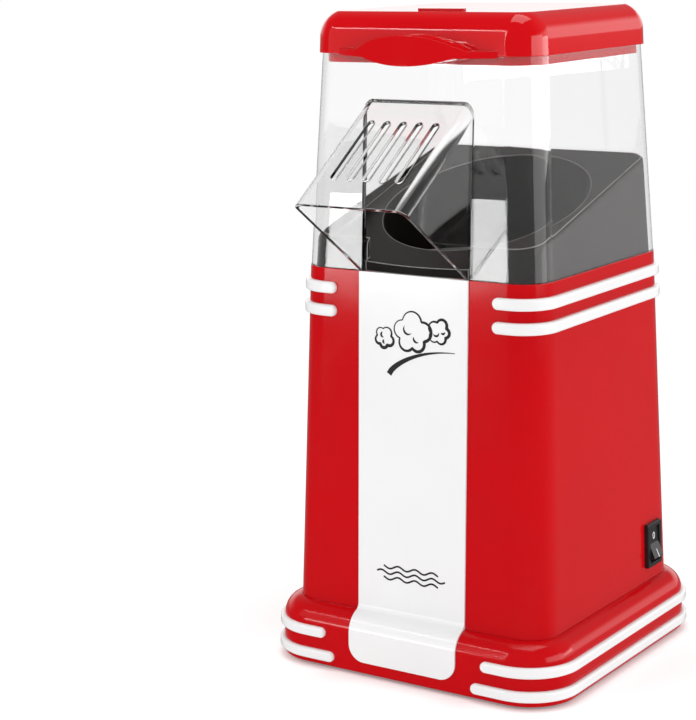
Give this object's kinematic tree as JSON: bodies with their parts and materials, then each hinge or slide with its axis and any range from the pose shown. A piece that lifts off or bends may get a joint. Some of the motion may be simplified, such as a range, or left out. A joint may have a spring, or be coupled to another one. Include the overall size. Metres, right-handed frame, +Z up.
{
  "type": "hot air popcorn maker",
  "caption": "Square tapered hot-air popcorn maker with a clear lift-off top, slotted chute hood, lift-off lid, dark chute funnel, metal popping chamber, heater, fan and rocker switch.",
  "frame": {"origin": "centre of the whole object's footprint box, on the surface it stands on", "axes": "+Z up, -Y the side that the popcorn leaves from, +X the switch's side"},
  "size_m": [0.156, 0.1914, 0.3],
  "materials": {
    "red_shell": "gloss red ABS",
    "white_trim": "gloss white ABS",
    "clear_shell": "clear polycarbonate",
    "dark_insert": "satin charcoal PP",
    "switch_black": "satin black nylon",
    "duct_plastic": "heat-resistant black",
    "foot_rubber": "matt",
    "silicone": "satin",
    "chamber_metal": "spun",
    "sheet_steel": "zinc plated",
    "screw_steel": "plated",
    "heater_wire": "oxidised",
    "mica": "matt mica board",
    "magnet": "matt ferrite",
    "copper": "enamelled copper",
    "bronze": "sintered",
    "board": "phenolic board",
    "component": "moulded",
    "lead_cover": "silicone sleeve"
  },
  "bodies": {
    "base": {"front_panel": "white_trim", "base_shell": "red_shell", "body_shell": "red_shell", "body_trim_lower": "white_trim", "body_trim_upper": "white_trim", "base_trim_lower": "white_trim", "base_trim_upper": "white_trim", "bottom_cover": "duct_plastic", "rubber_feet": "foot_rubber", "chute_insert": "dark_insert", "popping_chamber": "chamber_metal", "chamber_gasket": "silicone", "heat_shield": "sheet_steel", "fan_housing": "duct_plastic", "heater_former": "mica", "heater_coil": "heater_wire", "thermostat": "component", "thermal_fuse": "component", "motor_mount": "sheet_steel", "motor_can": "sheet_steel", "motor_end_cap": "switch_black", "motor_bushes": "bronze", "motor_magnets": "magnet", "rectifier_board": "board", "rectifier_diodes": "component", "switch_bezel": "switch_black", "switch_terminals": "bronze", "cord_gland": "switch_black", "inner_leads": "lead_cover", "cover_screws": "screw_steel", "body_screws": "screw_steel", "duct_screws": "screw_steel", "insert_screws": "screw_steel", "plate_screws": "screw_steel", "motor_screws": "screw_steel"},
    "clear_top": {"clear_housing": "clear_shell", "chute_hood": "clear_shell"},
    "lid": {"lid": "red_shell"},
    "rocker": {"switch_rocker": "switch_black"},
    "rotor": {"motor_shaft": "screw_steel", "motor_armature": "sheet_steel", "armature_windings": "copper", "fan_impeller": "duct_plastic"}
  },
  "joints": [
    {"name": "clear_top_lift", "type": "slide", "parent": "base", "child": "clear_top", "axis": [0, 0, 1], "range_m": [0, 0.06]},
    {"name": "lid_lift", "type": "slide", "parent": "clear_top", "child": "lid", "axis": [0, 0, 1], "range_m": [0, 0.03]},
    {"name": "rocker_tilt", "type": "hinge", "parent": "base", "child": "rocker", "pos_m": [0.06494, 0.06019, 0.04595], "axis": [0, 1, 0], "range_deg": [0, 24]},
    {"name": "rotor_spin", "type": "hinge", "parent": "base", "child": "rotor", "pos_m": [0, 0.01769, 0.072], "axis": [0, 0, 1], "continuous": true}
  ]
}
